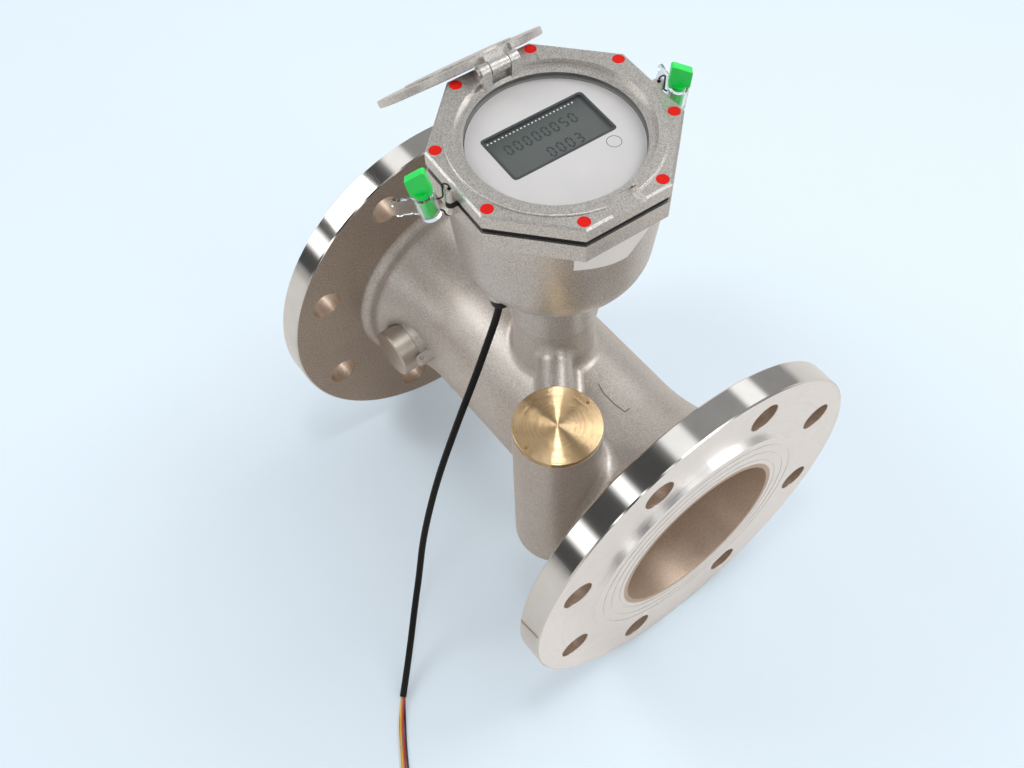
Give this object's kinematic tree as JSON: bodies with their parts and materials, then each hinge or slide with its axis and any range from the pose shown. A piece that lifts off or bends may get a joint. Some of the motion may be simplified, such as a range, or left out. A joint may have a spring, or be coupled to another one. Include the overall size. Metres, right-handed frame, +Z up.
{
  "type": "ultrasonic water meter",
  "caption": "Flanged ultrasonic water meter: cast tube with transducer bosses under brass plugs, a register head with a hinged lid, twist seals and an output cable.",
  "frame": {"origin": "middle of the flow bore, halfway between the flange faces", "axes": "+X along the pipe to the front flange, +Z up through the neck to the register head, +Y across the pipe"},
  "size_m": [0.25, 0.3113, 0.3277],
  "materials": {
    "cast_stainless": "bead-blasted stainless casting, flange faces and rims turned bright",
    "cast_head": "fine investment-cast stainless, blasted and passivated",
    "turned_steel": "turned stainless",
    "screw_steel": "stainless fastener",
    "brass": "turned bright brass",
    "transducer_polymer": "glass-filled moulding, matt",
    "black_rubber": "moulded rubber",
    "red_plastic": "moulded tamper caps",
    "window_glass": "clear toughened glass",
    "dark_plastic": "moulded, matt",
    "dial_plate": "plain printed plate, satin",
    "display": "reflective segment display",
    "board": "coated circuit board",
    "cell_sleeve": "sleeved cell can",
    "clear_plastic": "clear moulded seal body",
    "green_plastic": "moulded seal rotor",
    "seal_wire": "twisted sealing wire",
    "gland_metal": "turned gland nut",
    "cable_jacket": "soft black cable sheath",
    "core_white": "core insulation",
    "core_yellow": "core insulation",
    "core_red": "core insulation",
    "core_black": "core insulation"
  },
  "bodies": {
    "meter": {"flow_tube": "cast_stainless", "brass_plug_front": "brass", "brass_plug_rear": "brass", "transducer_front": "transducer_polymer", "transducer_rear": "transducer_polymer", "transducer_orings": "black_rubber", "neck_oring": "black_rubber", "neck_set_screws": "screw_steel", "side_port_plug": "turned_steel", "head_housing": "cast_head", "cover_gasket": "black_rubber", "top_cover": "cast_head", "cover_screws": "screw_steel", "red_caps": "red_plastic", "window_seal": "black_rubber", "window_glass": "window_glass", "glass_retainer": "dark_plastic", "dial_plate": "dial_plate", "display_panel": "display", "circuit_board": "board", "electronics_carrier": "dark_plastic", "lithium_cell": "cell_sleeve", "hinge_pin": "screw_steel", "seal_body_left": "clear_plastic", "seal_body_right": "clear_plastic", "seal_wire_left": "seal_wire", "seal_wire_right": "seal_wire", "cable_gland": "gland_metal", "cable_jacket": "cable_jacket", "core_white": "core_white", "core_yellow": "core_yellow", "core_red": "core_red", "core_black": "core_black"},
    "lid": {"lid": "cast_head"},
    "seal_rotor_left": {"seal_rotor_left": "green_plastic"},
    "seal_rotor_right": {"seal_rotor_right": "green_plastic"}
  },
  "joints": [
    {"name": "lid_hinge", "type": "hinge", "parent": "meter", "child": "lid", "pos_m": [-0.0447, 0.00217, 0.211], "axis": [0.0663, 0.9978, 0], "range_deg": [0, 224.2]},
    {"name": "seal_twist_left", "type": "hinge", "parent": "meter", "child": "seal_rotor_left", "pos_m": [-0.0097, -0.06588, 0.20167], "axis": [0.0073, -0.2078, 0.9781], "continuous": true},
    {"name": "seal_twist_right", "type": "hinge", "parent": "meter", "child": "seal_rotor_right", "pos_m": [0.01026, 0.06416, 0.20155], "axis": [0.1906, -0.1489, 0.9703], "continuous": true}
  ]
}
